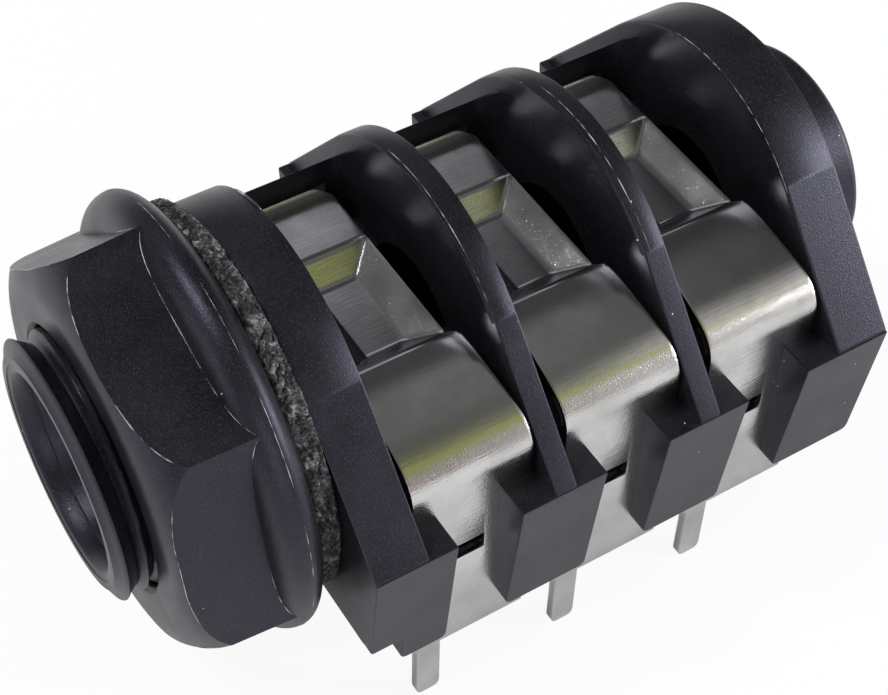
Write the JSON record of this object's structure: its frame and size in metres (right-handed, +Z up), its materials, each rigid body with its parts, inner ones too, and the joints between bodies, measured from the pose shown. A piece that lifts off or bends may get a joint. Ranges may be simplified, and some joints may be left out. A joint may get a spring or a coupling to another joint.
{
  "type": "audio jack socket",
  "caption": "Stereo quarter-inch jack socket for panel and board, with a threaded bush, a hexagonal nut, sprung contacts and a break contact for each pole.",
  "frame": {"origin": "middle of the pin pattern, on the plane of the board that the socket seats on", "axes": "-Y out of the mouth along the jack's axis, +Z up away from the board, +X towards the side of the spring contacts"},
  "size_m": [0.0216, 0.0355, 0.0217],
  "materials": {
    "housing": "moulded black nylon, satin",
    "panel_nut": "moulded black nylon, satin",
    "panel_washer": "grey-brown vulcanised fibre, rough",
    "contacts": "copper alloy, bright nickel plate"
  },
  "bodies": {
    "socket": {"housing": "housing", "sleeve_break_contact": "contacts", "ring_break_contact": "contacts", "tip_break_contact": "contacts"},
    "washer": {"panel_washer": "panel_washer"},
    "nut": {"panel_nut": "panel_nut"},
    "sleeve_leaf": {"sleeve_spring_contact": "contacts"},
    "ring_leaf": {"ring_spring_contact": "contacts"},
    "tip_leaf": {"tip_spring_contact": "contacts"}
  },
  "joints": [
    {"name": "washer_slide", "type": "slide", "parent": "socket", "child": "washer", "axis": [0, -1, 0], "range_m": [0, 0.007]},
    {"name": "nut_spin", "type": "hinge", "parent": "washer", "child": "nut", "pos_m": [0, -0.0148, 0.009], "axis": [0, -1, 0], "range_deg": [0, 2520]},
    {"name": "sleeve_leaf_flex", "type": "hinge", "parent": "socket", "child": "sleeve_leaf", "pos_m": [0.0076, -0.005, 0.01015], "axis": [0, 1, 0], "range_deg": [0, 4], "stiffness_Nm_per_rad": 0.2, "deforming": ["sleeve_spring_contact"]},
    {"name": "ring_leaf_flex", "type": "hinge", "parent": "socket", "child": "ring_leaf", "pos_m": [0.0076, 0.00189, 0.01015], "axis": [0, 1, 0], "range_deg": [0, 4], "stiffness_Nm_per_rad": 0.2, "deforming": ["ring_spring_contact"]},
    {"name": "tip_leaf_flex", "type": "hinge", "parent": "socket", "child": "tip_leaf", "pos_m": [0.0076, 0.0088, 0.01015], "axis": [0, 1, 0], "range_deg": [0, 4], "stiffness_Nm_per_rad": 0.2, "deforming": ["tip_spring_contact"]}
  ],
  "couplings": [
    {"joint": "nut_spin", "follows": "washer_slide", "rad_per_m": 6283.2}
  ]
}
